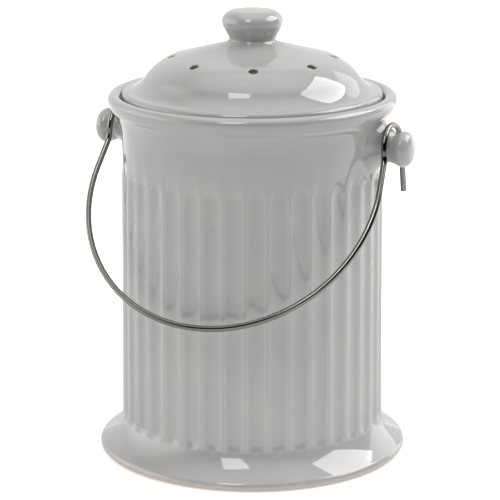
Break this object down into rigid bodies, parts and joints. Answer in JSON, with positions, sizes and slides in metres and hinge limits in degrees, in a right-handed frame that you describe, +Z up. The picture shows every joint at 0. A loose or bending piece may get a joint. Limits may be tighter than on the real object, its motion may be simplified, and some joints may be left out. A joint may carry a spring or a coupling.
{
  "type": "ceramic compost crock",
  "caption": "Fluted glazed pot with a flared foot, a vented lift-off lid holding a charcoal filter, and a wire bail hooked over side lugs.",
  "frame": {"origin": "middle of the foot, on the table", "axes": "+Z up the axis of the pot, X through both lugs, and the bail hangs on the -Y side"},
  "size_m": [0.2034, 0.1868, 0.2691],
  "materials": {
    "glaze": "glossy",
    "charcoal": "matte",
    "steel_wire": "polished"
  },
  "bodies": {
    "crock": {"crock_body": "glaze", "lug_left": "glaze", "lug_right": "glaze"},
    "lid": {"lid_dome": "glaze", "lid_knob": "glaze"},
    "filter": {"charcoal_filter": "charcoal"},
    "bail": {"bail_handle": "steel_wire"}
  },
  "joints": [
    {"name": "lid_lift", "type": "slide", "parent": "crock", "child": "lid", "axis": [0, 0, 1], "range_m": [0, 0.12]},
    {"name": "filter_drop", "type": "slide", "parent": "lid", "child": "filter", "axis": [0, 0, -1], "range_m": [0, 0.03]},
    {"name": "bail_swing", "type": "hinge", "parent": "crock", "child": "bail", "pos_m": [0, 0, 0.192], "axis": [-1, 0, 0], "range_deg": [-4, 277]}
  ]
}
